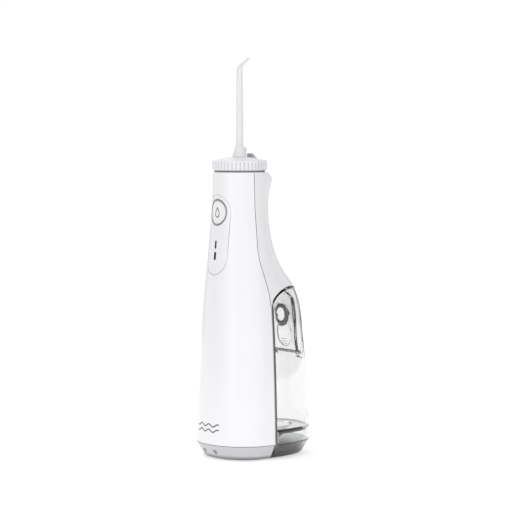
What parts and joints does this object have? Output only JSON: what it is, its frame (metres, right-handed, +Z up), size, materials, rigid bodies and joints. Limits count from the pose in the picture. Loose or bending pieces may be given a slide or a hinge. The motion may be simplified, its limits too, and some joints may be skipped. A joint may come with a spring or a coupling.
{
  "type": "water flosser",
  "caption": "Cordless handheld water flosser: upright white handle with a clear removable rear water tank, ribbed rotating knob and bent jet tip.",
  "frame": {"origin": "on the floor under the middle of the whole object", "axes": "+Z up, -Y towards the front with the button, +Y towards the water tank, +X the right side seen from behind the button"},
  "size_m": [0.0676, 0.0856, 0.29],
  "materials": {
    "white_gloss": "high gloss",
    "knob_grey": "satin",
    "base_grey": "satin",
    "clear_grey": "clear, polished",
    "tip_clear": "translucent",
    "chrome_trim": "polished",
    "black_plastic": "satin",
    "dark_lens": "smoked",
    "white_pom": "as moulded",
    "grey_frame": "as moulded",
    "dark_rubber": "matt",
    "steel": "turned",
    "plated_can": "zinc plated",
    "brass": "turned",
    "board_green": "solder mask",
    "cell_wrap": "shrink sleeve",
    "wire_sleeve": "pvc",
    "hose_clear": "silicone"
  },
  "bodies": {
    "handle": {"front_shell": "white_gloss", "control_panel": "white_gloss", "button_bezel": "chrome_trim", "button_membrane": "dark_rubber", "indicator_lenses": "dark_lens", "rear_shell": "white_gloss", "bay_wall": "base_grey", "base_cap": "base_grey", "charge_contacts": "brass", "foot_pads": "dark_rubber", "case_screws": "steel", "small_screws": "steel", "knob_washer": "dark_rubber", "neck_plate": "black_plastic", "inlet_fitting": "black_plastic", "suction_hose": "hose_clear", "battery_cells": "cell_wrap", "battery_straps": "plated_can", "battery_cradle": "grey_frame", "internal_leads": "wire_sleeve", "control_board": "board_green", "tact_switch": "black_plastic", "board_parts": "black_plastic", "motor_can": "plated_can", "motor_end_cap": "white_pom", "gear_axle": "steel", "axle_clips": "steel", "pump_cylinder": "white_pom", "pump_head": "white_pom", "inlet_valve_spring": "steel", "outlet_valve_spring": "steel", "pump_cap": "white_pom", "water_coupling": "white_pom", "chassis": "grey_frame"},
    "power_button": {"power_button": "white_gloss", "switch_plunger": "black_plastic"},
    "knob": {"rotation_knob": "knob_grey", "tip_socket": "white_pom", "socket_ring": "dark_rubber", "latch_spring": "steel"},
    "eject": {"eject_button": "knob_grey"},
    "tip": {"jet_tip": "tip_clear", "tip_collar": "knob_grey"},
    "tank": {"tank_shell": "clear_grey", "tank_front_plate": "clear_grey", "tank_spout": "clear_grey", "spout_ring": "dark_rubber", "tank_base": "base_grey", "door_hinge_pin": "steel"},
    "door": {"fill_door": "clear_grey", "door_seal": "dark_rubber"},
    "rotor": {"motor_shaft": "steel", "motor_pinion": "brass"},
    "gear": {"drive_gear": "white_pom"},
    "rod": {"connecting_rod": "white_pom"},
    "piston": {"piston": "white_pom", "wrist_pin": "steel", "piston_seal": "dark_rubber"},
    "inlet_valve": {"inlet_valve_ball": "steel"},
    "outlet_valve": {"outlet_valve_ball": "steel"}
  },
  "joints": [
    {"name": "knob_turn", "type": "hinge", "parent": "handle", "child": "knob", "pos_m": [0, -0.013, 0.212], "axis": [0, 0, 1], "continuous": true},
    {"name": "tip_release", "type": "slide", "parent": "knob", "child": "tip", "axis": [0, 0, 1], "range_m": [0, 0.03]},
    {"name": "eject_press", "type": "slide", "parent": "knob", "child": "eject", "axis": [0, -1, 0], "range_m": [0, 0.0012], "stiffness_N_per_m": 400, "springref_m": -0.003, "deforming": ["latch_spring"]},
    {"name": "button_press", "type": "slide", "parent": "handle", "child": "power_button", "axis": [0, 1, 0], "range_m": [0, 0.0004], "stiffness_N_per_m": 3000, "springref_m": -0.0003, "deforming": ["button_membrane"]},
    {"name": "tank_release", "type": "slide", "parent": "handle", "child": "tank", "axis": [0, 1, 0], "range_m": [0, 0.06]},
    {"name": "door_swing", "type": "hinge", "parent": "tank", "child": "door", "pos_m": [0, 0.0316, 0.0745], "axis": [-1, 0, 0], "range_deg": [0, 95]},
    {"name": "rotor_spin", "type": "hinge", "parent": "handle", "child": "rotor", "pos_m": [0, -0.022, 0.1], "axis": [0, 0, 1], "continuous": true},
    {"name": "gear_spin", "type": "hinge", "parent": "handle", "child": "gear", "pos_m": [0, -0.017, 0.1245], "axis": [0, 1, 0], "continuous": true},
    {"name": "rod_orbit", "type": "hinge", "parent": "gear", "child": "rod", "pos_m": [0, -0.0147, 0.1255], "axis": [0, 1, 0], "continuous": true},
    {"name": "piston_stroke", "type": "slide", "parent": "handle", "child": "piston", "axis": [0, 0, -1], "range_m": [0, 0.002]},
    {"name": "inlet_valve_lift", "type": "slide", "parent": "handle", "child": "inlet_valve", "axis": [0, 0, -1], "range_m": [0, 0.0008], "stiffness_N_per_m": 20, "springref_m": -0.002, "deforming": ["inlet_valve_spring"]},
    {"name": "outlet_valve_lift", "type": "slide", "parent": "handle", "child": "outlet_valve", "axis": [0, 0, 1], "range_m": [0, 0.0008], "stiffness_N_per_m": 20, "springref_m": -0.002, "deforming": ["outlet_valve_spring"]}
  ],
  "couplings": [
    {"joint": "gear_spin", "follows": "rotor_spin", "ratio": 0.25},
    {"joint": "rod_orbit", "follows": "rotor_spin", "ratio": -0.25}
  ]
}
